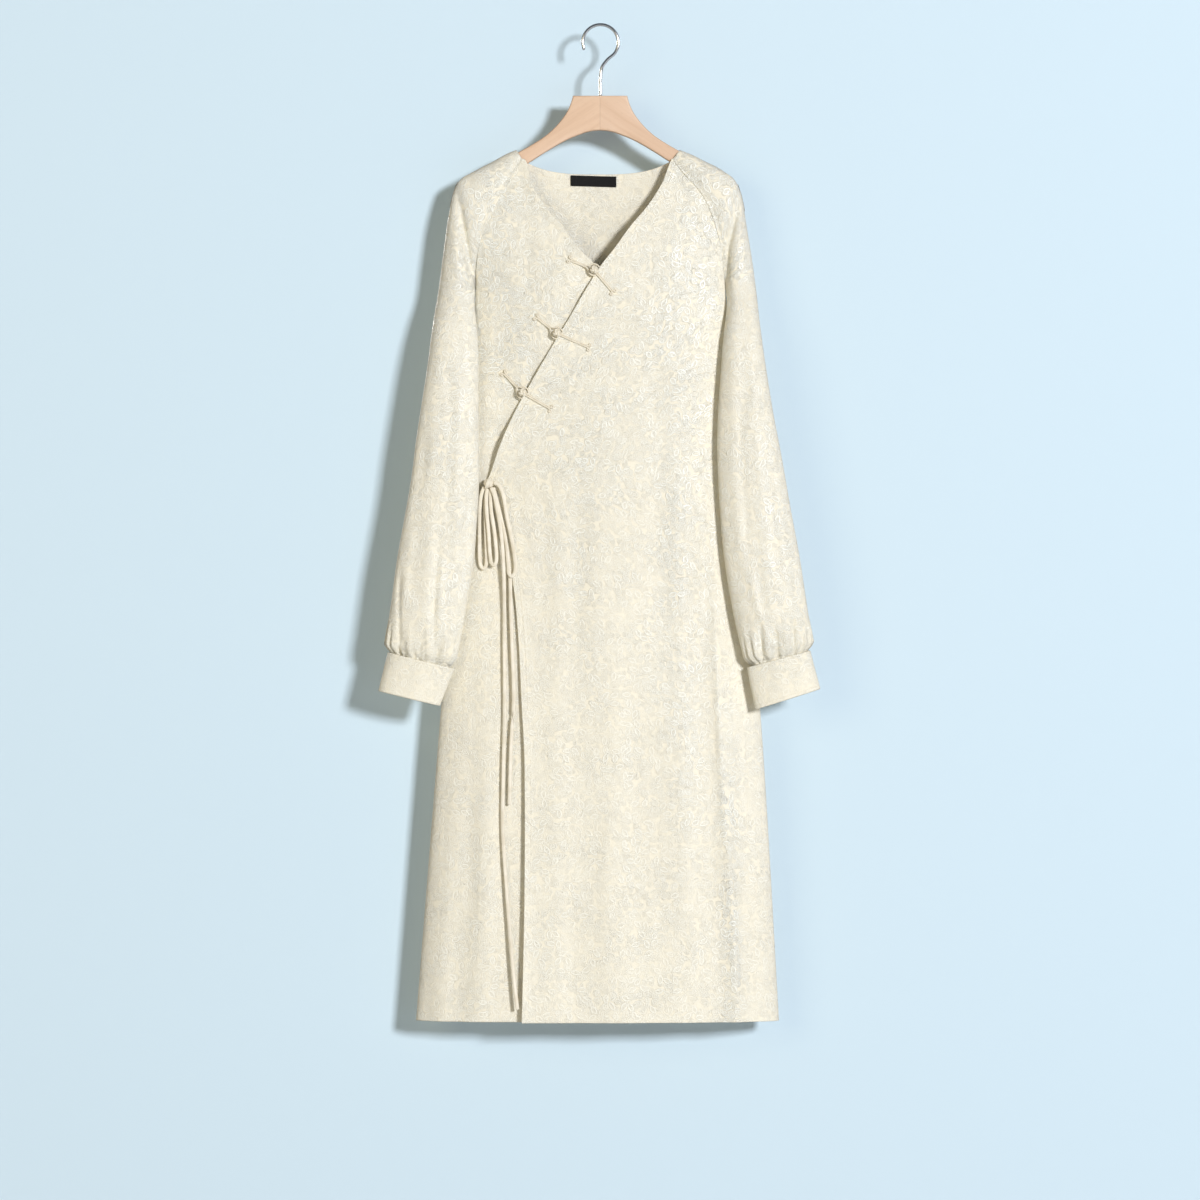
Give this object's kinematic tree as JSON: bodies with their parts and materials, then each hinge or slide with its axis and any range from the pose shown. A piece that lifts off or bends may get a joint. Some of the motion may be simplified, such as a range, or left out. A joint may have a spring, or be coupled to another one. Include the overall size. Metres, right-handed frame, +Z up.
{
  "type": "silk wrap dress on a wooden hanger",
  "caption": "Long ivory silk jacquard wrap dress with raglan sleeves, three frog closures and a tied bow, on a wooden hanger.",
  "frame": {"origin": "inside top of the hanger's hook, where it rests on a rail", "axes": "+Z up, +X to the viewer's right, -Y out of the dress's front"},
  "size_m": [0.5664, 0.0868, 1.286],
  "materials": {
    "silk": "ivory silk jacquard, small curled leaf figures a little glossier than the ground",
    "silk_trim": "plain ivory silk bias cord and tie",
    "label_black": "matt black woven label, bare",
    "beech": "pale satin beech",
    "hook_metal": "bright plated wire"
  },
  "bodies": {
    "root": {"front_outer": "silk", "front_under": "silk", "back": "silk", "sleeve_left": "silk", "sleeve_right": "silk", "cuff_left": "silk", "cuff_right": "silk", "label": "label_black", "frog_1_knot": "silk_trim", "frog_1_loop": "silk_trim", "frog_2_knot": "silk_trim", "frog_2_loop": "silk_trim", "frog_3_knot": "silk_trim", "frog_3_loop": "silk_trim", "bow_knot": "silk_trim", "bow_loop_1": "silk_trim", "bow_loop_2": "silk_trim", "bow_loop_3": "silk_trim", "tail_long": "silk_trim", "tail_short": "silk_trim", "hanger_wood": "beech", "hanger_hook": "hook_metal"}
  },
  "joints": []
}
